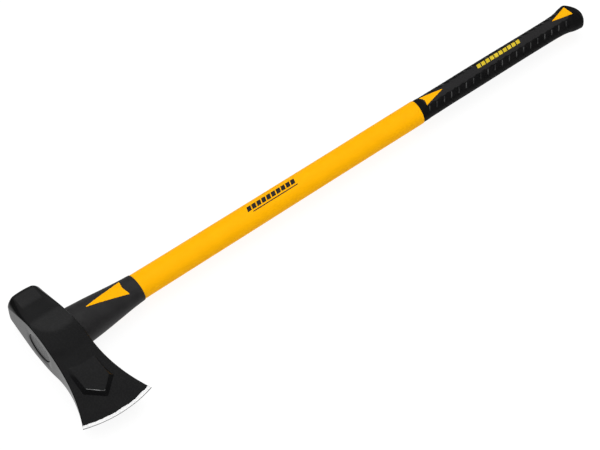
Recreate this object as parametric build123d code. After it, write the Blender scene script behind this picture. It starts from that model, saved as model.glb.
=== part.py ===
from build123d import *
import os
from math import asin, degrees, sqrt

# Splitting maul lying on one cheek. Millimetres.
# X runs along the handle from the head to the butt, +Y is towards the poll, -Y towards the edge, +Z is up.
# The pieces are built with x = 0 on top of the head, y = 0 on the handle's axis and z = 0 in the head's middle
# plane, and are moved last, so that the origin is under the middle of the whole tool.

overall_length = 915.0  # top of the head to the butt

# Forged head
head_height = 50.0  # along the handle, at the eye
head_thickness = 60.0  # cheek to cheek, at the eye
poll_reach = 72.0  # handle axis to the poll face
poll_thickness = 50.0
poll_straight = 22.0  # length of the poll before it swells towards the eye
corner_cut = 14.6  # leg of the poll's four long chamfers on its end faces, at the poll face
corner_share = 0.65  # their leg on the cheeks, as a share of that
rim_chamfer = 3.0
edge_reach = 137.0  # handle axis to the middle of the edge
edge_length = 95.0  # toe to heel
edge_centre = 16.0  # the edge is an arc about this point, this far behind the handle axis
edge_land = 0.5  # thickness left at the very edge
bevel_width = 8.0
bevel_thickness = 4.6  # blade thickness where the bare bevel starts
flare_start = 35.0  # handle axis to where toe and heel start to flare
cheek_margin = 3.0  # flat cheek past the head's own height

# Raised arrow-shaped splitting pad on each cheek
pad_width = 50.0  # at its foot
pad_start = 60.0  # handle axis to where the pad leaves the cheek
pad_side_end = 93.5
pad_tip = 112.5
pad_foot = 5.0  # foot outline above the middle plane
pad_draft = 42.0  # slope of the pad's walls, degrees
pad_start_height = 15.0
pad_tip_height = 10.4

# Eye, wider at the top so that the cured resin is a wedge
eye_width = 42.0
eye_thickness = 31.0
eye_spread = 3.0  # how much wider the eye is at the top
resin_recess = 1.5  # below the top of the head
dam_height = 5.0

# Handle
shaft_width = 36.8
shaft_thickness = 28.6
core_width = 24.0
core_thickness = 18.0
core_recess = 3.0  # end of the core below the top of the head
core_butt_cover = 16.0
jacket_butt_cover = 7.0
jacket_neck_width = 28.5  # under the grip
jacket_neck_thickness = 22.8

# Head collar, which guards the handle against overstrikes
collar_length = 100.0
collar_head_width = 55.5
collar_head_thickness = 52.0
collar_head_drop = 1.4  # the swelling is this much deeper on the edge side
collar_middle_width = 46.0
collar_middle_thickness = 39.0
collar_end_width = 39.2
collar_end_thickness = 30.8

# Grip
grip_length = 300.0
grip_width = 34.6
grip_thickness = 28.2
neck_width = 32.8
neck_thickness = 26.8
neck_back = 55.0  # butt to the narrowest place
neck_drop = 1.2  # how far the grip has bent towards the edge side here
knob_width = 43.0
knob_thickness = 34.6
knob_drop = 2.0
dome_height = 14.0  # widest place to the butt
dome_tip = 0.12  # flat left at the middle of the butt, as a share of the knob

# Arrow windows: the jacket shows through the collar and the grip
collar_arrow_tip = 21.0  # head to the tip
collar_arrow_length = 58.0
collar_arrow_width = 25.0
grip_arrow_base = 10.0  # start of the grip to the base
grip_arrow_length = 34.0
grip_arrow_width = 18.0
knob_arrow_base = 20.0  # butt to the base
knob_arrow_length = 31.0
knob_arrow_width = 20.0
arrow_lift = 1.9  # the grip's arrows sit this far off the cheek line, on the poll side
arrow_notch = 3.0
arrow_sink = 0.4  # the arrows lie this far under the black surface
far = 60.0  # past every handle surface

middle = head_height / 2
edge_radius = edge_reach + edge_centre
grip_start = overall_length - grip_length
collar_end = head_height + collar_length


def oval(x, width, thickness, drop=0.0):
    return Plane.YZ.offset(x) * Pos(-drop, 0) * Ellipse(width / 2, thickness / 2)


def oval_body(stations, sink=0.0):
    """Solid through oval sections, each given as x, width, thickness and how far it lies towards the edge."""
    return loft([oval(x, width - 2 * sink, thick - 2 * sink, drop) for x, width, thick, drop in stations], ruled=True)


def oval_bar(start, end, width, thickness):
    return extrude(oval(start, width, thickness), end - start)


def wedge():
    """Blade and cheeks: a thickness profile turned about the centre of the edge's arc."""
    half = head_thickness / 2
    flat = middle + cheek_margin
    bevel = edge_radius - bevel_width
    run = bevel - flat
    rise = half - bevel_thickness / 2
    root = Vector(bevel, bevel_thickness / 2)
    shoulder = Vector(flat, half)
    # The cheek is hollow: it falls fast behind the eye and flattens out towards the bevel.
    hollow = [root + Vector(-run * back, rise * up) for back, up in ((0.33, 0.23), (0.59, 0.46), (0.82, 0.81))]
    cheek = Spline([shoulder] + hollow[::-1] + [root], tangents=[(1, 0), (run, -0.62 * rise)])
    land = Vector(edge_radius, edge_land / 2)
    axis_top = Vector(0, half)
    upper = [Line(axis_top, shoulder), cheek, Line(root, land), Line(land, Vector(edge_radius, 0))]
    side = Wire(upper + [Line((edge_radius, 0), (0, 0)), Line((0, 0), axis_top)])
    top = revolve(Plane.XZ * make_face(side), axis=Axis.Z)
    turned = top + mirror(top, about=Plane.XY)
    front = Pos(0, -edge_radius, 0) * Box(4 * edge_radius, 2 * edge_radius, 2 * head_thickness)
    return Pos(middle, edge_centre, 0) * (turned & front)


def poll_block():
    """From the middle of the eye back to the poll: the thickness falls from the cheeks to the poll."""
    half = head_thickness / 2
    swell_end = poll_reach - poll_straight
    swell = Spline([(edge_centre, half), (swell_end, poll_thickness / 2)], tangents=[(1, 0), (1, 0)])
    flat = Line((swell_end, poll_thickness / 2), (poll_reach, poll_thickness / 2))
    face = Line((poll_reach, poll_thickness / 2), (poll_reach, 0))
    rest = [Line((poll_reach, 0), (edge_centre, 0)), Line((edge_centre, 0), (edge_centre, half))]
    top = extrude(Plane.YZ * make_face(Wire([swell, flat, face] + rest)), head_height)
    block = top + mirror(top, about=Plane.XY)
    return chamfer(block.faces().sort_by(Axis.Y)[-1].edges(), rim_chamfer)


def corner_cutters():
    """Four half spaces that chamfer the poll's long corners and run out at the middle of the eye."""
    run = poll_reach - edge_centre
    low = poll_thickness / 2 - corner_cut
    slope = (head_thickness / 2 - low) / run
    block = Pos(0, 0, head_length()) * Box(4 * head_length(), 4 * head_length(), 2 * head_length())
    tilt = (-1, slope * corner_share, corner_share)
    upper = Plane(origin=(0, poll_reach, low), z_dir=tilt) * block
    lower = mirror(upper, about=Plane.XY)
    near = [upper, lower]
    return near + [mirror(cutter, about=Plane.YZ.offset(middle)) for cutter in near]


def head_length():
    return poll_reach + edge_reach


def plan():
    """Outline seen from the cheek: parallel as far as the eye, then arcs out to toe and heel."""
    flare = (edge_length - head_height) / 2
    toe = edge_centre - sqrt(edge_radius**2 - (edge_length / 2) ** 2)
    drop = -flare_start - toe
    radius = (drop**2 + flare**2) / (2 * flare)
    past = degrees(asin((edge_reach + rim_chamfer - flare_start) / radius))
    side = CenterArc((-radius, -flare_start), radius, 0, -past)
    end = side @ 1
    back = poll_reach + rim_chamfer
    straight = [Line((middle, back), (0, back)), Line((0, back), (0, -flare_start))]
    closing = [Line(end, (middle, end.Y)), Line((middle, end.Y), (middle, back))]
    half = extrude(make_face(Wire(straight + [side] + closing)), head_thickness, both=True)
    return half + mirror(half, about=Plane.YZ.offset(middle))


def pads():
    """Home-plate pads on both cheeks: their tops fall more slowly than the hollow cheeks under them."""
    half = pad_width / 2
    corners = [(middle - half, 0), (middle - half, -pad_side_end), (middle, -pad_tip)]
    corners += [(middle + half, -pad_side_end), (middle + half, 0)]
    foot = make_face(Polyline(*corners, close=True))
    outline = extrude(Pos(0, 0, pad_foot) * foot, head_thickness / 4, taper=pad_draft)
    low, high = pad_tip_height, pad_start_height
    side = [(-pad_start, high), (-pad_tip, low), (-pad_tip, 0), (-pad_start, 0)]
    slab = extrude(Plane.YZ * make_face(Polyline(*side, close=True)), head_height + edge_length, both=True)
    upper = outline & slab
    return upper + mirror(upper, about=Plane.XY)


def eye(start, end):
    """Part of the tapered eye between two depths below the top of the head."""
    stations = []
    for x in (start, end):
        spread = eye_spread * (1 - x / head_height)
        stations.append((x, eye_width + spread, eye_thickness + spread, 0))
    return oval_body(stations)


def arrow(tip, base, width, lift):
    """Prism through both cheeks; the base is notched towards the tip."""
    notch = base + arrow_notch * (1 if tip > base else -1)
    outline = Polyline((tip, lift), (base, lift + width / 2), (notch, lift), (base, lift - width / 2), close=True)
    return extrude(make_face(outline), far, both=True)


def collar_outer(sink=0.0):
    half_way = head_height + collar_length / 2
    stations = [
        (head_height, collar_head_width, collar_head_thickness, collar_head_drop),
        (half_way, collar_middle_width, collar_middle_thickness, collar_head_drop / 2),
        (collar_end, collar_end_width, collar_end_thickness, 0),
    ]
    return oval_body(stations, sink)


def grip_outer(sink=0.0):
    neck_x = overall_length - neck_back
    knob_x = overall_length - dome_height
    swell = 0.25  # share of the knob's extra girth reached two thirds of the way from the neck
    swell_width = neck_width + swell * (knob_width - neck_width)
    swell_thickness = neck_thickness + swell * (knob_thickness - neck_thickness)
    stations = [
        (grip_start, grip_width, grip_thickness, 0),
        (neck_x, neck_width, neck_thickness, neck_drop),
        ((neck_x + 2 * knob_x) / 3, swell_width, swell_thickness, (neck_drop + knob_drop) / 2),
        (knob_x, knob_width, knob_thickness, knob_drop),
    ]
    for share in (0.85, 0.65, 0.4, dome_tip):
        height = dome_height * (1 - share**2) / (1 - dome_tip**2)
        stations.append((knob_x + height, share * knob_width, share * knob_thickness, knob_drop))
    return oval_body(stations, sink)


def arrow_windows():
    collar_tip = head_height + collar_arrow_tip
    grip_base = grip_start + grip_arrow_base
    knob_base = overall_length - knob_arrow_base
    return [
        arrow(collar_tip, collar_tip + collar_arrow_length, collar_arrow_width, 0),
        arrow(grip_base + grip_arrow_length, grip_base, grip_arrow_width, arrow_lift),
        arrow(knob_base - knob_arrow_length, knob_base, knob_arrow_width, 0),
    ]


core = oval_bar(core_recess, overall_length - core_butt_cover, core_width, core_thickness)
shaft = oval_bar(head_height, grip_start, shaft_width, shaft_thickness)
neck = oval_bar(grip_start, overall_length - jacket_butt_cover, jacket_neck_width, jacket_neck_thickness)
collar_arrow, grip_arrow, knob_arrow = arrow_windows()
lands = (collar_outer(arrow_sink) & collar_arrow) + (grip_outer(arrow_sink) & (grip_arrow + knob_arrow))
jacket = shaft + neck + lands - core
collar = collar_outer() - shaft - collar_arrow
grip = grip_outer() - neck - grip_arrow - knob_arrow
resin = eye(resin_recess, head_height - dam_height) - core
dam = eye(head_height - dam_height, head_height) - core
head = (wedge() + poll_block()) & plan()
for cutter in corner_cutters():
    head = head - cutter
head = head + pads() - eye(0, head_height)

toe_x = middle - edge_length / 2
place = Pos(-(toe_x + overall_length) / 2, (edge_reach - poll_reach) / 2, head_thickness / 2)
nodes = {
    "maul_head": head,
    "fibreglass_core": core,
    "handle_jacket": jacket,
    "head_collar": collar,
    "grip_sleeve": grip,
    "eye_resin": resin,
    "resin_dam": dam,
}
os.makedirs("parts", exist_ok=True)
for name, solid in nodes.items():
    export_step(place * solid, f"parts/{name}.step")
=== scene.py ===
import math

import bpy
import bmesh
import numpy as np
from mathutils import Euler, Matrix, Vector


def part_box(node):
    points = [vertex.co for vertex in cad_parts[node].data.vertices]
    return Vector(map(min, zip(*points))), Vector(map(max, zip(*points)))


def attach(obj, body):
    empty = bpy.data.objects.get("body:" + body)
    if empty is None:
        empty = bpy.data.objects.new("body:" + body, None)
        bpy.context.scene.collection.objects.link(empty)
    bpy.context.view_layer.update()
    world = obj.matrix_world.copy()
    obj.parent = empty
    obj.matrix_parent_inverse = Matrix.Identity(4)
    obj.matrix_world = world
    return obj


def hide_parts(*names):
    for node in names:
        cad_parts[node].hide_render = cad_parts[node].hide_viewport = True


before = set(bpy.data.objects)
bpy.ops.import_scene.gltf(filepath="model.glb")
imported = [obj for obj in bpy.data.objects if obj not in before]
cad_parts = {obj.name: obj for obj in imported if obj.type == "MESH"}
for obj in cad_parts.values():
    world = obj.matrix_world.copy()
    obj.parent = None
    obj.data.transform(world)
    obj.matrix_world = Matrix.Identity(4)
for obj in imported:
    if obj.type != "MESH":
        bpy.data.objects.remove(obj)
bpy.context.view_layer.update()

# Every shape below is in millimetres of the tool itself: x down the handle from the top of the head, y
# towards the poll (the edge side is negative), z out of the upper cheek. place() puts it in the frame.
millimetres = 1000.0  # in a metre
collarDepth = 0.050  # metres from the top of the head to the collar
mergeWithin = 2e-6  # metres between points that are one
headLow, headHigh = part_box("maul_head")
jacketLow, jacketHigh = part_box("handle_jacket")
gripLow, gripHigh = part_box("grip_sleeve")
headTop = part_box("head_collar")[0].x - collarDepth

tool = {
    "headTop": headTop,
    "axisY": (jacketLow.y + jacketHigh.y) / 2,
    "middleZ": (headLow.z + headHigh.z) / 2,
    "length": (gripHigh.x - headTop) * millimetres,
    "gripStart": (gripLow.x - headTop) * millimetres,
}
edgeArc = {"x": 30.5, "y": 16.0, "radius": 154.6}  # the edge is an arc about this point


def place(points):
    # Millimetres of the tool to metres of the frame: divide by a thousand and shift.
    shift = np.array([tool["headTop"], tool["axisY"], tool["middleZ"]])
    return np.asarray(points, dtype=float) / millimetres + shift


def ease(low, high, value):
    # Smooth step: 0 below low, 1 above high, 3t^2 - 2t^3 between.
    t = np.clip((value - low) / (high - low), 0.0, 1.0)
    return t * t * (3 - 2 * t)


def curveThrough(knots, where):
    # Cubic Hermite curve through rows of (position, values...), slopes from the neighbours on both sides.
    table = np.asarray(knots, dtype=float)
    at, values = table[:, 0], table[:, 1:]
    slopes = np.gradient(values, at, axis=0)
    index = np.clip(np.searchsorted(at, where) - 1, 0, len(at) - 2)
    span = (at[index + 1] - at[index])[..., None]
    t = np.clip((where - at[index])[..., None] / span, 0.0, 1.0)
    a, b = values[index], values[index + 1]
    slopeA, slopeB = slopes[index] * span, slopes[index + 1] * span
    ends = (2 * t**3 - 3 * t**2 + 1) * a + (3 * t**2 - 2 * t**3) * b
    return ends + (t**3 - 2 * t**2 + t) * slopeA + (t**3 - t**2) * slopeB


def gridFaces(index, wrap=True):
    # Quads over a table of vertex numbers: each cell joins two neighbours in two neighbouring rows.
    nextCol = np.roll(index, -1, axis=1)
    if not wrap:
        index, nextCol = index[:, :-1], index[:, 1:]
    return np.stack([index[:-1], nextCol[:-1], nextCol[1:], index[1:]], axis=-1).reshape(-1, 4)


def borderOf(rows, cols):
    # Point numbers round a grid of rows by columns: along the first row, down, back and up again.
    across, down, lastRow = np.arange(cols), np.arange(rows) * cols, (rows - 1) * cols
    return np.concatenate([across, down[1:] + cols - 1, lastRow + across[-2::-1], down[-2:0:-1]])


def solidFrom(name, points, faces, material, slot, levels=0, nodes=(), marks=None):
    # One closed mesh from points and tables of faces: doubles merged, faces turned outwards, smooth,
    # subdivided by levels. nodes are the CAD nodes that it stands for, marks its values for each point.
    mesh = bpy.data.meshes.new(name)
    mesh.from_pydata(place(points).tolist(), [], [face for table in faces for face in table.tolist()])
    for label, values in (marks or {}).items():
        mesh.attributes.new(label, "FLOAT", "POINT").data.foreach_set("value", values)
    work = bmesh.new()
    work.from_mesh(mesh)
    bmesh.ops.remove_doubles(work, verts=work.verts, dist=mergeWithin)
    bmesh.ops.recalc_face_normals(work, faces=work.faces)
    work.to_mesh(mesh)
    work.free()
    mesh.polygons.foreach_set("use_smooth", np.ones(len(mesh.polygons), dtype=bool))
    mesh.materials.append(material)
    piece = bpy.data.objects.new(name, mesh)
    bpy.context.scene.collection.objects.link(piece)
    if levels:
        rounding = piece.modifiers.new("rounding", "SUBSURF")
        rounding.levels = levels
        rounding.render_levels = levels
    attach(piece, "root")
    if nodes:
        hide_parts(*nodes)
    print("made", name, len(mesh.polygons), "faces")
    return piece


def newGroup(name, inputs, outputs):
    # Empty shader group with its sockets: (name, default) pairs in, names out.
    group = bpy.data.node_groups.new(name, "ShaderNodeTree")
    for label, default in inputs:
        socket = group.interface.new_socket(label, in_out="INPUT", socket_type="NodeSocketFloat")
        socket.default_value = default
    for label in outputs:
        group.interface.new_socket(label, in_out="OUTPUT", socket_type="NodeSocketFloat")
    return group, group.nodes.new("NodeGroupInput"), group.nodes.new("NodeGroupOutput")


def addNode(tree, kind, inputs=None, **settings):
    # One node with its settings; inputs maps a socket to a value or to another node's output.
    node = tree.nodes.new(kind)
    for key, value in settings.items():
        setattr(node, key, value)
    for key, value in (inputs or {}).items():
        if isinstance(value, bpy.types.NodeSocket):
            tree.links.new(value, node.inputs[key])
        else:
            node.inputs[key].default_value = value
    return node


def maths(tree, operation, *values):
    # A maths node's result.
    return addNode(tree, "ShaderNodeMath", dict(enumerate(values)), operation=operation).outputs[0]


def ramp(tree, value, low, high, start=0.0, end=1.0):
    # Smooth step of a value between low and high, from start to end.
    wanted = {"Value": value, "From Min": low, "From Max": high, "To Min": start, "To Max": end}
    return addNode(tree, "ShaderNodeMapRange", wanted, interpolation_type="SMOOTHSTEP").outputs[0]


def blendColour(tree, share, first, second):
    # Mix of two colours by a share; each is a tuple or a colour output.
    return addNode(tree, "ShaderNodeMix", {0: share, 6: first, 7: second}, data_type="RGBA").outputs[2]


def objectSpot(tree):
    # The piece's own coordinates, which are metres of the frame.
    return addNode(tree, "ShaderNodeTexCoord").outputs["Object"]


def noiseOf(tree, spot, scale, detail=2.0, **more):
    # Soft noise from 0 to 1 over the given coordinates.
    wanted = {"Vector": spot, "Scale": scale, "Detail": detail, **more}
    return addNode(tree, "ShaderNodeTexNoise", wanted).outputs[0]


grainShape = {"finer": 3.7, "broader": 0.06, "patch": (0.3, 0.7)}
rubShape = {"scale": 260.0, "corner": (0.52, 0.62), "broken": (0.35, 0.65)}
dustShape = {
    "smearScale": 34.0, "smearRough": 0.7, "smear": (0.5, 0.8), "smearShare": 0.6,
    "speckScale": 420.0, "speck": (0.16, 0.05),
}


def makeGrain():
    # Fine skin: noise of two sizes added, Size in metres, Fine the smaller one's weight; Patch is broader.
    group, given, out = newGroup("grain", [("Size", 0.001), ("Fine", 0.4)], ["Height", "Patch"])
    spot = objectSpot(group)
    scale = maths(group, "DIVIDE", 1.0, given.outputs["Size"])
    finer = maths(group, "MULTIPLY", scale, grainShape["finer"])
    weighed = maths(group, "MULTIPLY", noiseOf(group, spot, finer), given.outputs["Fine"])
    group.links.new(maths(group, "ADD", noiseOf(group, spot, scale), weighed), out.inputs["Height"])
    patch = noiseOf(group, spot, maths(group, "MULTIPLY", scale, grainShape["broader"]), 3.0)
    group.links.new(ramp(group, patch, *grainShape["patch"]), out.inputs["Patch"])
    return group


def makeRub():
    # Handling marks: a mask of sharp corners, from how pointed the surface is, times broken noise.
    group, given, out = newGroup("rub", [("Amount", 0.5)], ["Mask"])
    pointed = addNode(group, "ShaderNodeNewGeometry").outputs["Pointiness"]
    noise = noiseOf(group, objectSpot(group), rubShape["scale"], 4.0)
    corner = ramp(group, pointed, *rubShape["corner"])
    broken = maths(group, "MULTIPLY", corner, ramp(group, noise, *rubShape["broken"]))
    group.links.new(maths(group, "MULTIPLY", broken, given.outputs["Amount"]), out.inputs["Mask"])
    return group


def makeDust():
    # Faint specks and smears: the larger of soft noise and small dots, a mask that is mostly nothing.
    group, given, out = newGroup("dust", [("Amount", 0.3)], ["Mask"])
    spot = objectSpot(group)
    smear = noiseOf(group, spot, dustShape["smearScale"], 5.0, Roughness=dustShape["smearRough"])
    dots = {"Vector": spot, "Scale": dustShape["speckScale"]}
    speck = addNode(group, "ShaderNodeTexVoronoi", dots).outputs["Distance"]
    soft = maths(group, "MULTIPLY", ramp(group, smear, *dustShape["smear"]), dustShape["smearShare"])
    mask = maths(group, "MAXIMUM", soft, ramp(group, speck, *dustShape["speck"]))
    group.links.new(maths(group, "MULTIPLY", mask, given.outputs["Amount"]), out.inputs["Mask"])
    return group


groups = {"grain": makeGrain(), "rub": makeRub(), "dust": makeDust()}


def useGroup(tree, name, **values):
    # One of the shared groups, placed in a material with its own values.
    return addNode(tree, "ShaderNodeGroup", values, node_tree=groups[name])


def newMaterial(name, **constants):
    # A material with one Principled shader; constants are set on the shader's own sockets.
    material = bpy.data.materials.new(name)
    material.use_nodes = True
    tree = material.node_tree
    tree.nodes.clear()
    shader = addNode(tree, "ShaderNodeBsdfPrincipled", constants)
    out = addNode(tree, "ShaderNodeOutputMaterial")
    tree.links.new(shader.outputs[0], out.inputs[0])
    return material, tree, shader


# how grain and dust act on every plastic and rubber: low and high of a value, and what it becomes
skin = {"ridgePatch": (0.0, 0.8, 0.25, 1.0), "roughBy": (0.35, 1.0), "dustRough": 0.2}


def grainedMaterial(name, look):
    # Plastic or rubber: two near colours in patches, lighter where worn or dusty, with grain in its bump.
    material, tree, shader = newMaterial(name, **{"Specular IOR Level": look["specular"]})
    grain = useGroup(tree, "grain", Size=look["grainSize"], Fine=look["fine"])
    worn = useGroup(tree, "rub", Amount=look["rub"]).outputs[0]
    dusty = useGroup(tree, "dust", Amount=look["dust"]).outputs[0]
    colour = blendColour(tree, grain.outputs["Patch"], look["colour"], look["patchColour"])
    # marks that the mesh carries: the grip's panel tone, and its ridge mark, a painted highlight on the
    # grooves' far walls that the grain's patches break up
    for label, markColour in look.get("marks", {}).items():
        mark = addNode(tree, "ShaderNodeAttribute", attribute_name=label).outputs["Fac"]
        if label == "ridgeHighlight":
            mark = maths(tree, "MULTIPLY", mark, ramp(tree, grain.outputs["Patch"], *skin["ridgePatch"]))
        colour = blendColour(tree, mark, colour, markColour)
    colour = blendColour(tree, worn, colour, look["wornColour"])
    colour = blendColour(tree, dusty, colour, look["dustColour"])
    tree.links.new(colour, shader.inputs["Base Color"])
    rough = ramp(tree, grain.outputs["Height"], *skin["roughBy"], *look["roughness"])
    duller = maths(tree, "MULTIPLY", dusty, skin["dustRough"])
    tree.links.new(maths(tree, "ADD", rough, duller), shader.inputs["Roughness"])
    wanted = {"Height": grain.outputs["Height"], "Strength": look["bump"], "Distance": look["depth"]}
    tree.links.new(addNode(tree, "ShaderNodeBump", wanted).outputs[0], shader.inputs["Normal"])
    return material


yellowLook = {
    "colour": (0.96, 0.437, 0.0006, 1), "patchColour": (0.985, 0.455, 0.0009, 1),
    "wornColour": (1.0, 0.6, 0.03, 1), "dustColour": (0.85, 0.55, 0.10, 1),
    "roughness": (0.40, 0.52), "grainSize": 0.0011, "fine": 0.5, "bump": 0.25, "depth": 0.0002,
    "rub": 0.3, "dust": 0.03, "specular": 0.05,
}
collarLook = {
    "colour": (0.0145, 0.014, 0.0145, 1), "patchColour": (0.0185, 0.018, 0.0185, 1),
    "wornColour": (0.05, 0.05, 0.05, 1), "dustColour": (0.09, 0.088, 0.085, 1),
    "roughness": (0.40, 0.54), "grainSize": 0.0009, "fine": 0.7, "bump": 0.35, "depth": 0.0002,
    "rub": 0.35, "dust": 0.06, "specular": 0.45,
}
# the grip's ridge colour is a painted highlight, light grey on the far wall of each groove
gripLook = dict(collarLook, colour=(0.0034, 0.0034, 0.0036, 1), patchColour=(0.0052, 0.0050, 0.0052, 1),
                roughness=(0.5, 0.68), grainSize=0.0007, bump=0.5, specular=0.22,
                marks={"panel": (0.018, 0.0175, 0.018, 1), "ridgeHighlight": (0.085, 0.085, 0.085, 1)})
inkLook = dict(collarLook, colour=(0.012, 0.012, 0.012, 1), patchColour=(0.018, 0.017, 0.016, 1),
               roughness=(0.4, 0.5), bump=0.1, rub=0.1, specular=0.3)
yellowInkLook = dict(yellowLook, colour=(0.62, 0.46, 0.02, 1), patchColour=(0.74, 0.55, 0.04, 1),
                     roughness=(0.45, 0.6), bump=0.1, rub=0.1)
resinLook = dict(collarLook, colour=(0.02, 0.02, 0.021, 1), patchColour=(0.03, 0.03, 0.031, 1),
                 roughness=(0.18, 0.3), grainSize=0.003, bump=0.12, rub=0.0, specular=0.5)
foamLook = dict(collarLook, colour=(0.05, 0.05, 0.055, 1), patchColour=(0.08, 0.08, 0.085, 1),
                roughness=(0.8, 0.95), grainSize=0.0012, bump=0.9, rub=0.0, specular=0.3)
fibreLook = dict(yellowLook, colour=(0.55, 0.50, 0.36, 1), patchColour=(0.66, 0.61, 0.45, 1),
                 roughness=(0.3, 0.6), grainSize=0.0008, bump=0.5, rub=0.0, specular=0.5)

headLook = {
    "paint": (0.004, 0.004, 0.0042, 1), "paintPatch": (0.006, 0.006, 0.0063, 1),
    # the colour after the worn paint is a painted highlight: light grey along the pads' front brow
    "wornPaint": (0.045, 0.045, 0.045, 1), "browHighlightPaint": (0.35, 0.35, 0.35, 1),
    "steel": (0.97, 0.97, 0.97, 1), "steelDark": (0.40, 0.40, 0.42, 1), "lip": (0.10, 0.10, 0.10, 1),
    # millimetres in from the edge's arc: where the paint stops, where the lip starts and where it is full
    "bareWidth": 4.9, "bareSoft": 0.3, "lipStart": 1.0, "lipFull": 0.5,
    "wobble": 0.0034, "wobbleScale": 90.0, "grainSize": 0.0035, "fine": 0.25, "worn": 0.5, "dusty": 0.06,
    "scratchRound": 60.0, "scratchOut": 7.0, "scratchScale": 9.0,
    "specular": 0.4, "coat": 0.1, "coatRough": 0.06, "metallic": 0.25,
    # low and high of a value, and what it becomes there
    "browHighlightBy": (0.55, 0.95), "browHighlightBroken": (0.35, 0.6, 0.3, 1.0), "scratched": (0.6, 0.85, 0.0, 0.25),
    "paintRough": (0.4, 0.9, 0.16, 0.22), "steelRough": (0.3, 0.7, 0.30, 0.48),
    "paintRelief": 0.06, "steelDrop": 0.3, "bump": 0.35, "depth": 0.00025,
}


def makeHeadMaterial(look):
    # Gloss black over a forging; bare ground steel past a wavy line, an arc about the edge arc's centre.
    constants = {"Coat Roughness": look["coatRough"], "Specular IOR Level": look["specular"]}
    material, tree, shader = newMaterial("blackPaint", **constants)
    spot = objectSpot(tree)
    centre = place([edgeArc["x"], edgeArc["y"], 0.0]).tolist()
    local = addNode(tree, "ShaderNodeVectorMath", {0: spot, 1: centre}, operation="SUBTRACT").outputs[0]
    x, y, _ = addNode(tree, "ShaderNodeSeparateXYZ", {0: local}).outputs
    squares = maths(tree, "ADD", maths(tree, "MULTIPLY", x, x), maths(tree, "MULTIPLY", y, y))
    radius = maths(tree, "SQRT", squares)
    angle = maths(tree, "ARCTAN2", x, y)
    wave = noiseOf(tree, spot, look["wobbleScale"])
    shift = maths(tree, "MULTIPLY", maths(tree, "SUBTRACT", wave, 0.5), look["wobble"])
    bareFrom, lipFrom, lipTo = [
        (edgeArc["radius"] - look[inset]) / millimetres for inset in ("bareWidth", "lipStart", "lipFull")
    ]
    bare = ramp(tree, maths(tree, "ADD", radius, shift), bareFrom, bareFrom + look["bareSoft"] / millimetres)
    lip = ramp(tree, radius, lipFrom, lipTo)
    around = maths(tree, "MULTIPLY", angle, look["scratchRound"])
    outwards = maths(tree, "MULTIPLY", radius, look["scratchOut"])
    polar = addNode(tree, "ShaderNodeCombineXYZ", {0: around, 1: outwards}).outputs[0]
    scratch = noiseOf(tree, polar, look["scratchScale"], 5.0)
    grain = useGroup(tree, "grain", Size=look["grainSize"], Fine=look["fine"])
    worn = useGroup(tree, "rub", Amount=look["worn"]).outputs[0]
    dusty = useGroup(tree, "dust", Amount=look["dusty"]).outputs[0]
    paint = blendColour(tree, grain.outputs["Patch"], look["paint"], look["paintPatch"])
    paint = blendColour(tree, maths(tree, "MAXIMUM", worn, dusty), paint, look["wornPaint"])
    # painted highlight: light grey blended into the paint along the pads' front brow, broken up by the wave
    browHighlight = addNode(tree, "ShaderNodeAttribute", attribute_name="browHighlight").outputs["Fac"]
    browHighlight = maths(tree, "MULTIPLY", ramp(tree, browHighlight, *look["browHighlightBy"]), ramp(tree, wave, *look["browHighlightBroken"]))
    paint = blendColour(tree, browHighlight, paint, look["browHighlightPaint"])
    steel = blendColour(tree, ramp(tree, scratch, *look["scratched"]), look["steel"], look["steelDark"])
    steel = blendColour(tree, lip, steel, look["lip"])
    tree.links.new(blendColour(tree, bare, paint, steel), shader.inputs["Base Color"])
    tree.links.new(maths(tree, "MULTIPLY", bare, look["metallic"]), shader.inputs["Metallic"])
    gloss = ramp(tree, grain.outputs["Height"], *look["paintRough"])
    ground = ramp(tree, scratch, *look["steelRough"])
    rough = addNode(tree, "ShaderNodeMix", {0: bare, 2: gloss, 3: ground}).outputs[0]
    tree.links.new(rough, shader.inputs["Roughness"])
    coat = maths(tree, "MULTIPLY", maths(tree, "SUBTRACT", 1.0, bare), look["coat"])
    tree.links.new(coat, shader.inputs["Coat Weight"])
    relief = maths(tree, "MULTIPLY", grain.outputs["Height"], look["paintRelief"])
    relief = addNode(tree, "ShaderNodeMix", {0: bare, 2: relief, 3: scratch}).outputs[0]
    relief = maths(tree, "SUBTRACT", relief, maths(tree, "MULTIPLY", bare, look["steelDrop"]))
    wanted = {"Height": relief, "Strength": look["bump"], "Distance": look["depth"]}
    tree.links.new(addNode(tree, "ShaderNodeBump", wanted).outputs[0], shader.inputs["Normal"])
    return material


blackPaint = makeHeadMaterial(headLook)
yellowPlastic = grainedMaterial("yellowPlastic", yellowLook)
collarRubber = grainedMaterial("collarRubber", collarLook)
gripRubber = grainedMaterial("gripRubber", gripLook)
blackInk = grainedMaterial("blackInk", inkLook)
yellowInk = grainedMaterial("yellowInk", yellowInkLook)
curedResin = grainedMaterial("curedResin", resinLook)
foamRubber = grainedMaterial("foamRubber", foamLook)
glassFibre = grainedMaterial("glassFibre", fibreLook)
print("materials ready")

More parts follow.
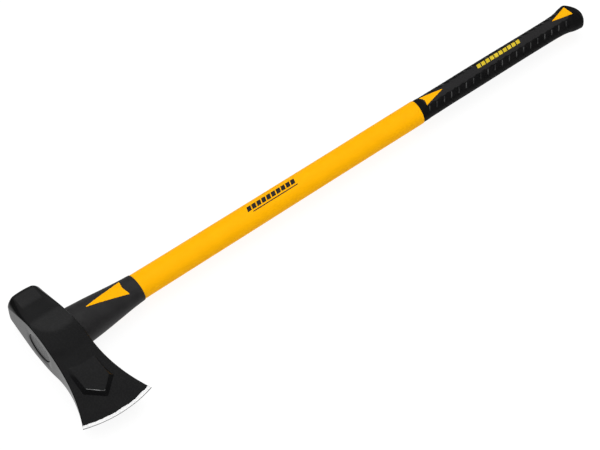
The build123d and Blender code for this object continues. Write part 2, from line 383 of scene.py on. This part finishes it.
head = {
    "height": 50.0, "half": 30.0, "pollReach": 72.0, "pollHalf": 25.0, "swellEnd": 50.0,
    "cornerLow": 10.4, "leg": 9.4, "legEnds": (15.0, 33.0), "roundness": 0.75, "softCorner": 1.1,
    "crownMiddle": 22.0, "crownRadius": 95.0, "dome": 1.8, "crownEnds": (50.0, 66.0),
    "flareStart": -35.0, "flareRadius": 209.4, "bendEnds": (10.0, 129.0), "settle": 6,
    # distance from the arc's centre, half thickness of the blade
    "blade": [(-10, 30), (20, 30), (28, 30), (36, 28.6), (49, 24.7), (62, 19.3), (76, 15.0), (91, 11.4),
              (106.4, 8.7), (125, 5.8), (146.6, 2.3), (154.6, 0.25)],
    # y, how far the side towards the handle leans in
    "gripSide": [(-140, -1.7), (-60, -2.4), (-30, -2.0), (-5, -0.7), (18, 1.4), (35, 2.0), (72, 2.6),
                 (75, 2.6)],
    # y, how far the top side stands out
    "topSide": [(-140, -0.9), (-100, 0.4), (-60, 1.2), (-25, 1.1), (0, 0.5), (20, 0.4), (72, 0.6),
                (75, 0.6)],
    # y, inset of the section: the rounded face of the poll comes first
    "pollRows": [(72.6, 24.8), (72.6, 17), (72.6, 10), (72.5, 6.0), (72.1, 3.6), (71.2, 1.7), (69.9, 0.6),
                 (67.8, 0.05), (64.5, 0), (60, 0), (55, 0), (49, 0), (43, 0), (37, 0), (31, 0)],
    "eyeRows": [26, 18, 9, 0, -9, -18, -26],
    "bladeRows": [-33, -40, -48, -56, -64, -72, -80, -88, -96, -104, -112, -119, -124.5, -128.3, -129.7,
                  -132.5, -135.8, -138.0, -138.6],
    # the eye: its oval, the columns of the face that it takes, and each ring of its wall: depth, growth
    "eyeWidth": 45.0, "eyeThick": 34.0, "eyeSpread": 3.0, "eyeColumns": (2, 6),
    "mouthGrow": 0.8, "mouthShare": 0.45,
    "eyeRings": [(0, 1.0), (0.25, 0.25), (1.2, 0), (12, 0), (25, 0), (38, 0), (48.8, 0), (49.75, 0.25),
                 (50, 1.0)],
}
# shares across a face, a corner facet and a cheek; a section has two of the first and third and four facets
acrossFace = np.array([-1, -0.95, -0.7, -0.35, 0, 0.35, 0.7, 0.95, 1])
acrossFacet = np.array([0.1, 0.35, 0.65, 0.9])
alongCheek = np.array([-1, -0.94, -0.8, -0.55, -0.28, 0, 0.28, 0.55, 0.8, 0.94, 1])
cheekStart = len(acrossFace) + len(acrossFacet)
halfWay = cheekStart + len(alongCheek) + len(acrossFacet)


def bladeHalf(x, y):
    # Half thickness of cheeks and blade by the distance from the edge arc's centre; behind it, a swell.
    radius = np.hypot(x - edgeArc["x"], np.minimum(y - edgeArc["y"], 0.0))
    blade = curveThrough(head["blade"], radius)[..., 0]
    swell = head["half"] - (head["half"] - head["pollHalf"]) * ease(edgeArc["y"], head["swellEnd"], y)
    return np.where(y > edgeArc["y"], swell, blade)


def flareOut(y):
    # Toe and heel leave the head's own height on an arc.
    down = np.minimum(y - head["flareStart"], 0.0)
    return head["flareRadius"] - np.sqrt(head["flareRadius"] ** 2 - down**2)


def headSection(y0, inset):
    # Closed section across the head at y0: faces, corner facets and cheeks in turn. Nearer the edge it
    # bends from a straight line to the edge's arc; at the poll it is crowned by a parabola each way.
    middle = head["height"] / 2
    bend = ease(*head["bendEnds"], -y0)

    def rowY(x):
        # the arc's rise above its lowest point, by the share that this section is bent
        sag = edgeArc["radius"] - np.sqrt(edgeArc["radius"] ** 2 - (x - edgeArc["x"]) ** 2)
        return y0 + bend * sag

    reach = middle
    for _ in range(head["settle"]):
        reach = middle + flareOut(rowY(np.array(middle + reach)))
    thick = bladeHalf(np.array(middle + reach), rowY(np.array(middle + reach)))
    slope = (head["half"] - head["cornerLow"]) / (head["pollReach"] - edgeArc["y"])
    soft = np.minimum(head["softCorner"], thick / 2)
    faceHalf = np.minimum(thick - soft, head["cornerLow"] + slope * (head["pollReach"] - y0))
    full = ease(*head["legEnds"], y0)
    leg = soft + (head["leg"] - soft) * full
    low = middle - reach - curveThrough(head["topSide"], np.array(y0))[0]
    high = middle + reach - curveThrough(head["gripSide"], np.array(y0))[0]
    face = acrossFace * faceHalf
    cheekX = low + leg + (alongCheek + 1) / 2 * (high - low - 2 * leg)
    # the corner between face and cheek: a straight chamfer blended with a quarter oval
    bow = head["roundness"] * full
    quarter = acrossFacet * np.pi / 2
    facetX = leg * (acrossFacet * (1 - bow) + bow * (1 - np.cos(quarter)))
    facetZ = faceHalf + (thick - faceHalf) * (acrossFacet * (1 - bow) + bow * np.sin(quarter))
    x = np.concatenate([face * 0 + low, low + facetX, cheekX, high - facetX[::-1],
                        face * 0 + high, high - facetX, cheekX[::-1], low + facetX[::-1]])
    y = rowY(x)
    cheek = bladeHalf(x, y)
    upper = cheek[cheekStart:cheekStart + len(cheekX)]
    under = cheek[halfWay + cheekStart:halfWay + cheekStart + len(cheekX)]
    z = np.concatenate([face, facetZ, upper, facetZ[::-1], -face, -facetZ, -under, -facetZ[::-1]])
    x = middle + (x - middle) * (1.0 - inset / middle)
    z = z * (1.0 - inset / thick)
    across = (x - head["crownMiddle"]) ** 2 / (2 * head["crownRadius"])
    crown = across - head["dome"] * (1 - (z / head["pollHalf"]) ** 2)
    return np.stack([x, y - ease(*head["crownEnds"], y0) * crown, z], axis=-1)


def eyeRing(x, loop, grow):
    # Oval of the eye at depth x, its points at the same angles as the block of cells it replaces.
    spread = head["eyeSpread"] * x / head["height"]
    a, b = (head["eyeWidth"] - spread) / 2 + grow, (head["eyeThick"] - spread) / 2 + grow
    phi = np.arctan2(loop[:, 2] / b, loop[:, 1] / a)
    return np.stack([np.full(len(loop), x), a * np.cos(phi), b * np.sin(phi)], axis=-1)


def makeHead():
    # Forging: sections carried from poll to edge, both ends closed, the eye let through as rings of cells.
    rows = head["pollRows"] + [(y, 0) for y in head["eyeRows"] + head["bladeRows"]]
    skinRows = np.stack([headSection(y, inset) for y, inset in rows])
    count, around = skinRows.shape[:2]
    points = skinRows.reshape(-1, 3)
    index = np.arange(count * around).reshape(count, around)
    first = len(head["pollRows"])
    last = first + len(head["eyeRows"]) - 1
    left, right = head["eyeColumns"]
    dropped = [index[first:last, side + left:side + right].ravel() for side in (0, halfWay)]
    faces = np.delete(gridFaces(index), np.concatenate(dropped), axis=0)
    columns, steps = np.arange(left, right), np.arange(first, last)
    loopRow = np.concatenate([columns * 0 + first, steps, columns * 0 + last, steps[::-1] + 1])
    loopCol = np.concatenate([columns, steps * 0 + right, columns[::-1] + 1, steps * 0 + left])
    top = index[loopRow, loopCol]
    under = index[loopRow, halfWay + len(acrossFace) - 1 - loopCol]
    loop = points[top]
    share, grow = head["mouthShare"], head["mouthGrow"]
    mouth = share * eyeRing(0.0, loop, grow) + (1 - share) * loop
    foot = share * eyeRing(head["height"], loop, grow) + (1 - share) * points[under]
    rings = [mouth] + [eyeRing(x, loop, wider) for x, wider in head["eyeRings"]] + [foot]
    ringIndex = np.arange(len(rings) * len(loop)).reshape(len(rings), -1) + len(points)
    tunnel = gridFaces(np.concatenate([top[None], ringIndex, under[None]]))
    points = np.concatenate([points, *rings, skinRows[0].mean(axis=0)[None]])
    hub = np.full(around, len(points) - 1)
    cap = np.stack([hub, np.roll(index[0], -1), index[0]], axis=-1)
    # the edge: its upper and lower rows are joined point to point
    nose, step = len(acrossFace) // 2, np.arange(halfWay + 1)
    upper, lower = index[-1, nose + step], index[-1, (nose - step) % around]
    end = np.stack([upper[1:-2], upper[2:-1], lower[2:-1], lower[1:-2]], axis=-1)
    tips = np.array([[upper[0], upper[1], lower[1]], [upper[-1], lower[-2], upper[-2]]])
    return points, [faces, tunnel, end, tips, cap]


solidFrom("forgedHead", *makeHead(), blackPaint, "head_paint", 2, ("maul_head",))

# raised splitting pads: y down the blade, x across it; the top falls more slowly than the cheek below it
pad = {
    "middle": 25.3, "topHalf": 17.3, "footHalf": 23.2, "start": -57.0, "sideEnd": -90.5, "tip": -106.5,
    "footSideEnd": -93.4, "footTip": -112.9, "footStart": -53.0,
    "startHeight": 15.25, "slope": 0.088, "sunk": 0.6, "heelFlank": 0.25,
    "wallShares": (0.12, 0.85, 1.0), "skirt": 1.5, "browColumns": (1, 7),
}
padAcross = np.array([-1, -0.97, -0.8, -0.5, -0.2, -0.04, 0.04, 0.2, 0.5, 0.8, 0.97, 1])
padDown = np.array([0, 0.05, 0.3, 0.6, 0.85, 0.96, 1.0])


def makePad(side):
    # Patch on a grid: share s across and v down to a front line that is a V, |s| pulling it back. Its brow
    # drops to a wider foot sunk in the cheek, which a skirt closes underneath.
    s, v = np.meshgrid(padAcross, padDown)
    front = pad["tip"] + (pad["sideEnd"] - pad["tip"]) * np.abs(s)
    topY = pad["start"] + v * (front - pad["start"])
    topZ = pad["startHeight"] + pad["slope"] * (topY - pad["start"])
    top = np.stack([pad["middle"] + s * pad["topHalf"], topY, topZ], axis=-1).reshape(-1, 3)
    footFront = pad["footTip"] + (pad["footSideEnd"] - pad["footTip"]) * np.abs(s)
    footY = pad["footStart"] + v * (footFront - pad["footStart"])
    # on the heel's side the flank is steep until near the front
    spread = np.where(s > 0, pad["heelFlank"] + (1 - pad["heelFlank"]) * v**3, 1.0)
    footX = pad["middle"] + s * (pad["topHalf"] + (pad["footHalf"] - pad["topHalf"]) * spread)
    foot = np.stack([footX, footY, bladeHalf(footX, footY) - pad["sunk"]], axis=-1).reshape(-1, 3)
    ring = borderOf(*s.shape)
    brow, base = top[ring], foot[ring]
    down = np.array([0, 0, pad["skirt"]])
    walls = [brow + share * (base - brow) for share in pad["wallShares"]] + [base - down]
    index = np.arange(s.size).reshape(s.shape)
    wallIndex = s.size + np.arange(len(walls) * len(ring)).reshape(len(walls), -1)
    points = np.concatenate([top, *walls, foot - down])
    points[:, 2] *= side
    # painted highlight: the front row of the brow is marked for a light grey line where light would catch the
    # edge
    browHighlight = np.zeros(len(points))
    browHighlight[index[-1, slice(*pad["browColumns"])]] = 1.0
    walled = gridFaces(np.concatenate([ring[None], wallIndex]))
    under = gridFaces(index + len(points) - s.size, False)[:, ::-1]
    return points, [gridFaces(index, False), walled, under], browHighlight


for name, side in (("upperPad", 1), ("lowerPad", -1)):
    padPoints, padFaces, padBrowHighlight = makePad(side)
    solidFrom(name, padPoints, padFaces, blackPaint, "head_paint", 2, ("maul_head",), {"browHighlight": padBrowHighlight})

# the plug's rows: share of its full width, depth under its own top
resin = {
    "wide": 43.6, "thick": 32.6, "recess": 1.4, "depth": 45.0, "around": 48,
    "rows": [(0.02, 0.15), (0.35, 0.12), (0.7, 0.06), (0.9, 0.0), (0.97, -0.18), (1.0, -0.5), (1.0, 3.0),
             (0.97, 25.0), (0.95, 43.5), (0.93, 45.0), (0.5, 45.0), (0.02, 45.0)],
}


def makeResin():
    # Plug of the eye: ovals growing from the middle of a slightly dished top, then a plain wall down.
    phi = np.linspace(0, 2 * np.pi, resin["around"], endpoint=False)
    share, depth = np.array(resin["rows"]).T
    depth = resin["recess"] + np.minimum(depth, resin["depth"] - resin["recess"])
    y = share[:, None] * resin["wide"] / 2 * np.cos(phi)
    z = share[:, None] * resin["thick"] / 2 * np.sin(phi)
    return np.stack([np.broadcast_to(depth[:, None], y.shape), y, z], axis=-1)


def capped(rows):
    # Tube of rows with both ends closed: a middle point added at each end.
    count, around = rows.shape[:2]
    points = np.concatenate([rows.reshape(-1, 3), rows[0].mean(axis=0)[None], rows[-1].mean(axis=0)[None]])
    index = np.arange(count * around).reshape(count, around)
    fans = []
    for row, hub in ((index[0][::-1], count * around), (index[-1], count * around + 1)):
        fans.append(np.stack([np.full(around, hub), row, np.roll(row, -1)], axis=-1))
    return points, [gridFaces(index)] + fans


solidFrom("eyeResinPlug", *capped(makeResin()), curedResin, "resin", 1, ("eye_resin",))

# rows: x, half width, half thickness, how far the middle lies towards the edge side; startIns: insets of
# the rows that close the start; endRows: how far short of the end each closing row is, and its inset
collar = {
    "rows": [(46, 27.9, 26.2, 1.4), (50, 27.8, 26.0, 1.4), (60, 27.3, 25.4, 1.5), (71, 26.4, 24.6, 1.4),
             (81, 25.6, 23.6, 1.25), (91, 24.7, 22.2, 1.1), (110, 22.8, 19.4, 0.8), (130, 20.9, 16.9, 0.35),
             (147.2, 19.7, 15.5, 0.1)],
    "around": 112, "step": 1.0, "start": 46.0, "end": 147.2, "endRound": 0.9,
    "startIns": [12.0, 0.3], "endRows": [(0.45, 0.18), (0.1, 0.5), (0, 0.9), (0, 5.0)],
}
shaft = {
    "rows": [(150, 18.95, 14.75, 0.0), (200, 18.7, 14.55, 0.1), (300, 18.45, 14.35, 0.2),
             (440, 18.1, 14.1, 0.25), (615, 18.15, 14.15, 0.3)],
    "around": 96, "step": 6.0, "start": 144.0, "end": tool["gripStart"], "endRound": 0.8,
    "startIns": [6.0], "endRows": [(0.35, 0.08), (0.08, 0.3), (0, 0.7), (0, 6.0)],
}
grip = {
    "rows": [(615, 17.3, 13.6, 0.3), (638, 17.35, 13.7, 0.3), (661, 17.1, 13.7, 0.3), (708, 17.15, 13.9, 0.4),
             (755, 17.0, 13.8, 0.5), (803, 16.8, 13.5, 0.8), (828, 16.8, 13.5, 1.0), (852, 16.9, 13.5, 1.2),
             (866, 17.1, 13.7, 1.35), (877, 17.8, 14.3, 1.5), (885, 19.0, 15.3, 1.65), (893, 20.6, 16.6, 1.8),
             (901, 21.6, 17.4, 2.0)],
    "around": 176, "step": 0.57, "start": tool["gripStart"] - 2.0, "end": 901.0, "tuck": 0.6,
    # the butt: shares of the last row that make its dome, how round it is, how far and where it leans
    "dome": [0.996, 0.985, 0.965, 0.935, 0.89, 0.83, 0.74, 0.63, 0.5, 0.36, 0.22, 0.1],
    "buttRound": 0.95, "buttSlant": 3.0, "buttEnds": (893.0, 903.0),
    # the grooves: millimetres along x, and degrees round from the cheek line for apex, bend and ridgeEnds
    "pitch": 13.3, "firstRib": 635.6, "ribsFrom": 628.0, "ribsTo": 884.0, "ribsFade": 6.0,
    "slant": 5.2, "apex": 60.0, "bend": 32.0, "grooveDepth": 1.0, "grooveWidth": 2.4, "wallSoft": 0.1,
    "nearWall": 0.62, "farWall": 0.38, "ridgeAt": 0.95, "ridgeWidth": 0.55, "ridgeEnds": (50.0, 60.0),
    # the smooth panels: degrees round from the cheek line, and how far the rubber steps down past them
    "panelEdge": 21.0, "panelSoft": 1.2, "panelStep": 0.45, "scallop": 5.0, "groovesPast": (2.0, 5.0),
}
joint = {"shift": -0.9, "lean": 2.4, "half": 17.3, "fade": 9.0}  # how the ring between shaft and grip leans


def ovalPoint(piece, x, turn):
    # Point of an oval section at x; turn is measured from the upper cheek line towards the edge side.
    a, b, drop = np.moveaxis(curveThrough(piece["rows"], x), -1, 0)
    return np.stack([x, -drop - a * np.sin(turn), b * np.cos(turn)], axis=-1)


def heightAt(piece, x, y):
    # Height of the oval surface over a point given by x and y.
    a, b, drop = np.moveaxis(curveThrough(piece["rows"], x), -1, 0)
    return b * np.sqrt(np.clip(1 - ((y + drop) / a) ** 2, 0.0, 1.0))


def ovalTube(piece, stations, insets, offset=None):
    # Oval sections carried down x; insets pull whole rows in, offset(x, turn) pushes single points out.
    turn = np.linspace(0, 2 * np.pi, piece["around"], endpoint=False)
    x, t = np.meshgrid(stations, turn, indexing="ij")
    rows = ovalPoint(piece, x, t)
    push = -np.broadcast_to(np.asarray(insets)[:, None], x.shape)
    if offset is not None:
        push = push + offset(x, t)
    out = np.stack([x * 0, -np.sin(t), np.cos(t)], axis=-1)
    return rows + out * push[..., None]


# arrows: x of tip and base, half width at the base, how far off the cheek line, notch of the base
arrows = {
    "collarArrow": {"on": collar, "tip": 70.6, "base": 129.9, "half": 12.2, "lift": 0.7, "notch": 3.2},
    "gripArrow": {"on": grip, "tip": 661.2, "base": 625.2, "half": 8.9, "lift": 1.9, "notch": 2.6},
    "knobArrow": {"on": grip, "tip": 863.4, "base": 895.4, "half": 9.3, "lift": 1.0, "notch": 1.2},
}
# the rubber's dip and the yellow plate in it: how far in the plate starts, ends and narrows, and its grid
inlay = {
    "gap": 0.55, "inside": 0.15, "groove": 0.7, "under": 0.12, "thick": 2.0,
    "tipIn": 0.22, "baseIn": 0.05, "sideIn": 0.13,
    "down": [0.02, 0.06, 0.12, 0.2, 0.3, 0.4, 0.5, 0.6, 0.7, 0.8, 0.9, 0.96, 0.985, 1.0],
    "across": [-1, -0.97, -0.85, -0.6, -0.3, -0.06, 0.06, 0.3, 0.6, 0.85, 0.97, 1],
}


def outsideArrow(arrow, x, y):
    # Signed distance to the arrow's outline in the plane of the cheek, negative inside.
    toward = math.copysign(1.0, arrow["tip"] - arrow["base"])
    lift, half = arrow["lift"], arrow["half"]
    corners = np.array([
        (arrow["tip"], lift), (arrow["base"], lift + half),
        (arrow["base"] + toward * arrow["notch"], lift), (arrow["base"], lift - half),
    ])
    nearest = np.full(x.shape, np.inf)
    inside = np.zeros(x.shape, dtype=bool)
    for (ax, ay), (bx, by) in zip(corners, np.roll(corners, -1, axis=0)):
        runX, runY = bx - ax, by - ay
        along = np.clip(((x - ax) * runX + (y - ay) * runY) / (runX**2 + runY**2), 0, 1)
        nearest = np.minimum(nearest, np.hypot(x - ax - along * runX, y - ay - along * runY))
        inside ^= ((ay > y) != (by > y)) & (x < runX * (y - ay) / runY + ax)
    return np.where(inside, -nearest, nearest)


def arrowGroove(piece, x, turn):
    # The rubber dips under each arrow that lies on it, with a soft wall just outside the outline.
    y = ovalPoint(piece, x, turn)[..., 1]
    dip = np.zeros(x.shape)
    for arrow in arrows.values():
        if arrow["on"] is piece:
            dip = np.maximum(dip, 1 - ease(-inlay["inside"], inlay["gap"], outsideArrow(arrow, x, y)))
    return -inlay["groove"] * dip


def gripPattern(x, turn):
    # Shares from 0 to 1: smooth cheek panel inside a scalloped edge, the lower rubber past it, slanting
    # grooves in that, and a painted highlight on the far wall of each groove, a bell curve over the distance
    # to it.
    fold = np.degrees(np.arcsin(np.abs(np.sin(turn))))
    start, stop, fade, pitch = grip["ribsFrom"], grip["ribsTo"], grip["ribsFade"], grip["pitch"]
    near = ease(start - fade, start, x) * (1 - ease(stop, stop + fade, x))
    phase = (x - grip["firstRib"] - grip["slant"] * np.abs(fold - grip["apex"]) / grip["bend"]) / pitch
    toRib = (phase - np.round(phase)) * pitch
    edge = grip["panelEdge"] + grip["scallop"] * np.abs(np.sin(np.pi * (x - grip["firstRib"]) / pitch))
    outside = ease(edge - grip["panelSoft"], edge + grip["panelSoft"], fold)
    before, after = grip["nearWall"] * grip["grooveWidth"], grip["farWall"] * grip["grooveWidth"]
    rise, fall = ease(-before, -grip["wallSoft"], toRib), 1 - ease(grip["wallSoft"], after, toRib)
    bell = np.exp(-(((toRib - grip["ridgeAt"]) / grip["ridgeWidth"]) ** 2))
    ridgeHighlight = bell * (1 - ease(*grip["ridgeEnds"], fold))
    pastFrom, pastTo = grip["groovesPast"]
    past = ease(edge + pastFrom, edge + pastTo, fold) * near
    groove = np.where(toRib < 0, rise, fall) * past
    return {"panel": near * (1 - outside), "lower": near * outside, "groove": groove, "ridgeHighlight": ridgeHighlight * past}


def gripRelief(x, turn):
    # Pushed in past the panel and again in the grooves, and dipped under the arrows.
    share = gripPattern(x, turn)
    pressed = grip["panelStep"] * share["lower"] + grip["grooveDepth"] * share["groove"]
    return arrowGroove(grip, x, turn) - pressed


def collarRelief(x, turn):
    # Dipped under the arrows only.
    return arrowGroove(collar, x, turn)


def leanJoint(rows):
    # Where shaft and grip meet, rows slide towards the head on the edge side, fading away from the joint.
    share = 1 - ease(0.0, joint["fade"], np.abs(rows[..., 0] - tool["gripStart"]))
    rows[..., 0] += (joint["shift"] + joint["lean"] * rows[..., 1] / joint["half"]) * share
    return rows


def stationsBetween(start, end, step):
    # Even places along x, about a step apart.
    return np.linspace(start, end, int(round((end - start) / step)) + 1)


def closedTube(piece, offset=None):
    # Even rows from start to end, with the piece's own closing rows before and after them.
    x = stationsBetween(piece["start"], piece["end"] - piece["endRound"], piece["step"])
    short, ins = np.array(piece["endRows"]).T
    stations = np.concatenate([np.full(len(piece["startIns"]), piece["start"]), x, piece["end"] - short])
    return ovalTube(piece, stations, np.concatenate([piece["startIns"], x * 0, ins]), offset)


def makeGrip():
    # Rubber sleeve: patterned rows, a smaller first row tucked inside, and a butt whose length grows as
    # its rows shrink. The butt ends square to the bent grip, so it leans.
    x = stationsBetween(grip["start"], grip["end"], grip["step"])
    body = ovalTube(grip, x, x * 0, gripRelief)
    last, centre = body[-1], body[-1].mean(axis=0)
    share = np.array(grip["dome"])[:, None]
    dome = centre + share[..., None] * (last - centre)
    dome[..., 0] = grip["end"] + (tool["length"] - grip["end"]) * (1 - share**2) ** grip["buttRound"]
    start = body[0].mean(axis=0)
    rows = np.concatenate([(start + grip["tuck"] * (body[0] - start))[None], body, dome])
    lean = (rows[..., 1] - centre[1]) / grip["rows"][-1][1]
    rows[..., 0] -= grip["buttSlant"] * lean * ease(*grip["buttEnds"], rows[..., 0])
    points, faces = capped(leanJoint(rows))
    turn = np.linspace(0, 2 * np.pi, grip["around"], endpoint=False)
    pattern = gripPattern(*np.meshgrid(x, turn, indexing="ij"))
    marks = {}
    for label in ("panel", "ridgeHighlight"):
        marks[label] = np.zeros(len(points))
        marks[label][grip["around"]:grip["around"] + pattern[label].size] = pattern[label].ravel()
    return points, faces, marks


collarMesh = capped(closedTube(collar, collarRelief))
shaftMesh = capped(leanJoint(closedTube(shaft)))
gripPoints, gripFaces, gripMarks = makeGrip()
solidFrom("headCollar", *collarMesh, collarRubber, "black_rubber", 0, ("head_collar",))
solidFrom("yellowShaft", *shaftMesh, yellowPlastic, "yellow_plastic", 0, ("handle_jacket",))
solidFrom("gripSleeve", gripPoints, gripFaces, gripRubber, "black_rubber", 0, ("grip_sleeve",), gripMarks)


def plate(piece, x, y, lift, thick, side):
    # Closed plate on an oval surface: x and y are tables of its points, lift its top's height above it.
    top = np.stack([x, y, heightAt(piece, x, y) + lift], axis=-1).reshape(-1, 3)
    points = np.concatenate([top, top - [0, 0, thick]])
    points[:, 2] *= side
    ring = borderOf(*x.shape)
    index = np.arange(x.size).reshape(x.shape)
    walls = gridFaces(np.stack([ring, ring + x.size]))
    return points, [gridFaces(index, False), walls, gridFaces(index + x.size, False)[:, ::-1]]


def arrowTable(arrow):
    # x and y over the arrow: v from tip to base, s across; the base's middle is notched forwards.
    v, s = np.meshgrid(inlay["down"], inlay["across"], indexing="ij")
    toward = math.copysign(1.0, arrow["tip"] - arrow["base"])
    tip = arrow["tip"] - toward * inlay["tipIn"]
    end = arrow["base"] + toward * (inlay["baseIn"] + arrow["notch"] * (1 - np.abs(s)))
    return tip + v * (end - tip), arrow["lift"] + s * v * (arrow["half"] - inlay["sideIn"])


for name, arrow in arrows.items():
    for label, side in (("Upper", 1), ("Lower", -1)):
        inlaid = plate(arrow["on"], *arrowTable(arrow), -inlay["under"], inlay["thick"], side)
        solidFrom(name + label, *inlaid, yellowPlastic, "yellow_plastic", 1, ("handle_jacket",))

# plain slanted bars, all alike: x from, x to, how many, y from, y to, slant of the ends
printed = {"rise": 0.07, "thick": 0.6, "gap": 1.7, "along": 14, "across": 9}
bars = {
    "shaftBars": {"on": shaft, "material": blackInk, "slot": "black_rubber",
                  "rows": [(325.0, 403.0, 10, -1.6, 6.4, 3.2), (330.0, 403.0, 1, -5.2, -3.8, 0.6)]},
    "gripBars": {"on": grip, "material": yellowInk, "slot": "yellow_plastic",
                 "rows": [(724.0, 803.0, 10, -1.4, 5.6, 2.8)]},
}


def barEnds(rows):
    # Each row shared out evenly, a gap after every bar.
    for start, end, count, low, high, slant in rows:
        pitch = (end - start + printed["gap"]) / count
        for number in range(count):
            yield start + number * pitch, start + (number + 1) * pitch - printed["gap"], low, high, slant


def makeBars(row):
    # Every bar is a plate over a parallelogram: shares u along it, w across it, its ends slanting with w.
    along, across = np.linspace(0, 1, printed["along"]), np.linspace(0, 1, printed["across"])
    u, w = np.meshgrid(along, across, indexing="ij")
    parts, tables, used = [], [], 0
    for start, end, low, high, slant in barEnds(row["rows"]):
        x, y = start + u * (end - start) + slant * (w - 0.5), low + w * (high - low)
        barPoints, barFaces = plate(row["on"], x, y, printed["rise"], printed["thick"], 1)
        parts.append(barPoints)
        tables += [table + used for table in barFaces]
        used += len(barPoints)
    return np.concatenate(parts), tables


for name, row in bars.items():
    solidFrom(name, *makeBars(row), row["material"], row["slot"])

for node, material in (("fibreglass_core", glassFibre), ("resin_dam", foamRubber)):
    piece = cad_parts[node]
    piece.data.materials.clear()
    piece.data.materials.append(material)

studio = {
    "floor": (0.14, 0.14, 0.14, 1), "floorPatch": (0.15, 0.15, 0.15, 1), "floorGlow": 0.9, "floorRough": 0.9,
    "floorReach": 12.0, "floorDrop": 0.0005, "patchScale": 3.0,
    # the surroundings: an axis, the level away from it, and what is added nearer to it and below the
    # horizon, each with the two ends between which it grows
    "towards": (0.30, 0.50, 0.812), "walls": 0.04, "shoulder": 0.25, "shoulderEnds": (0.58, 0.73),
    "peak": 0.35, "peakEnds": (0.972, 0.996), "below": 0.58, "belowEnds": (-0.05, -0.45),
}
# three soft fills that leave no patch in the black gloss, and one small lamp that does
lamps = {
    "ceiling": {"at": (0.0, 0.5, 3.0), "aim": (0, 0, 0), "size": (4.0, 4.0), "watts": 106, "shine": False},
    "fromLeft": {"at": (-2.6, 0.8, 2.0), "aim": (-0.2, 0, 0), "size": (2.4, 1.6), "watts": 18, "shine": False},
    "fromFront": {"at": (-0.4, -2.4, 1.5), "aim": (0, 0, 0), "size": (2.4, 1.4), "watts": 22, "shine": False},
    "glint": {"at": (0.9, -1.0, 1.5), "aim": (-0.3, 0, 0), "size": (0.5, 0.5), "watts": 1.0, "shine": True},
}
lens = {
    "at": (-0.9507, -1.1073, 1.8977), "turn": (36.7830, -0.1730, -38.5352), "sensor": 36.0, "length": 108.0,
    "nearest": 0.05, "furthest": 50.0,
}


def makeFloor():
    # A flat square just under the head, pale by its own glow, so that it holds hardly any shadow.
    material, tree, shader = newMaterial("paleFloor", **{
        "Specular IOR Level": 0.1, "Roughness": studio["floorRough"],
        "Emission Color": (1, 1, 1, 1), "Emission Strength": studio["floorGlow"],
    })
    noise = noiseOf(tree, objectSpot(tree), studio["patchScale"])
    colour = blendColour(tree, noise, studio["floor"], studio["floorPatch"])
    tree.links.new(colour, shader.inputs["Base Color"])
    reach = studio["floorReach"]
    corners = [(-reach, -reach, 0), (reach, -reach, 0), (reach, reach, 0), (-reach, reach, 0)]
    floorMesh = bpy.data.meshes.new("floor")
    floorMesh.from_pydata(corners, [], [(0, 1, 2, 3)])
    floorMesh.materials.append(material)
    floor = bpy.data.objects.new("floor", floorMesh)
    floor.location.z = headLow.z - studio["floorDrop"]
    floor.visible_glossy = False  # gloss shows the softer lower half of the surroundings instead
    bpy.context.scene.collection.objects.link(floor)


def makeWorld():
    # Dim walls, a bright ceiling round one axis and a softer level below: smooth steps, added up.
    world = bpy.data.worlds.new("studio")
    world.use_nodes = True
    sky = world.node_tree
    direction = addNode(sky, "ShaderNodeTexCoord").outputs["Generated"]
    axis = {0: direction, 1: studio["towards"]}
    up = addNode(sky, "ShaderNodeVectorMath", axis, operation="DOT_PRODUCT").outputs["Value"]
    height = addNode(sky, "ShaderNodeSeparateXYZ", {0: direction}).outputs[2]
    level = ramp(sky, up, *studio["shoulderEnds"], studio["walls"], studio["shoulder"])
    level = maths(sky, "ADD", level, ramp(sky, up, *studio["peakEnds"], 0.0, studio["peak"]))
    level = maths(sky, "ADD", level, ramp(sky, height, *studio["belowEnds"], 0.0, studio["below"]))
    background = sky.nodes["Background"]
    background.inputs["Color"].default_value = (1, 1, 1, 1)
    sky.links.new(level, background.inputs["Strength"])
    bpy.context.scene.world = world


def addLamp(name, lamp):
    # A soft rectangle that faces the point it aims at.
    light = bpy.data.lights.new(name, "AREA")
    light.shape = "RECTANGLE"
    light.size, light.size_y = lamp["size"]
    light.energy = lamp["watts"]
    holder = bpy.data.objects.new(name, light)
    turn = (Vector(lamp["aim"]) - Vector(lamp["at"])).to_track_quat("-Z", "Y")
    holder.matrix_world = Matrix.Translation(lamp["at"]) @ turn.to_matrix().to_4x4()
    holder.visible_glossy = lamp["shine"]
    bpy.context.scene.collection.objects.link(holder)


def makeCamera():
    # The camera, placed and turned by its own three angles in degrees.
    camera = bpy.data.cameras.new("camera")
    camera.sensor_width, camera.lens = lens["sensor"], lens["length"]
    camera.clip_start, camera.clip_end = lens["nearest"], lens["furthest"]
    eye = bpy.data.objects.new("camera", camera)
    turn = Euler([math.radians(angle) for angle in lens["turn"]])
    eye.matrix_world = Matrix.LocRotScale(Vector(lens["at"]), turn, Vector((1, 1, 1)))
    bpy.context.scene.collection.objects.link(eye)
    bpy.context.scene.camera = eye


makeFloor()
makeWorld()
for name, lamp in lamps.items():
    addLamp(name, lamp)
makeCamera()
bpy.context.scene.view_settings.view_transform = "Standard"
print("stage ready")
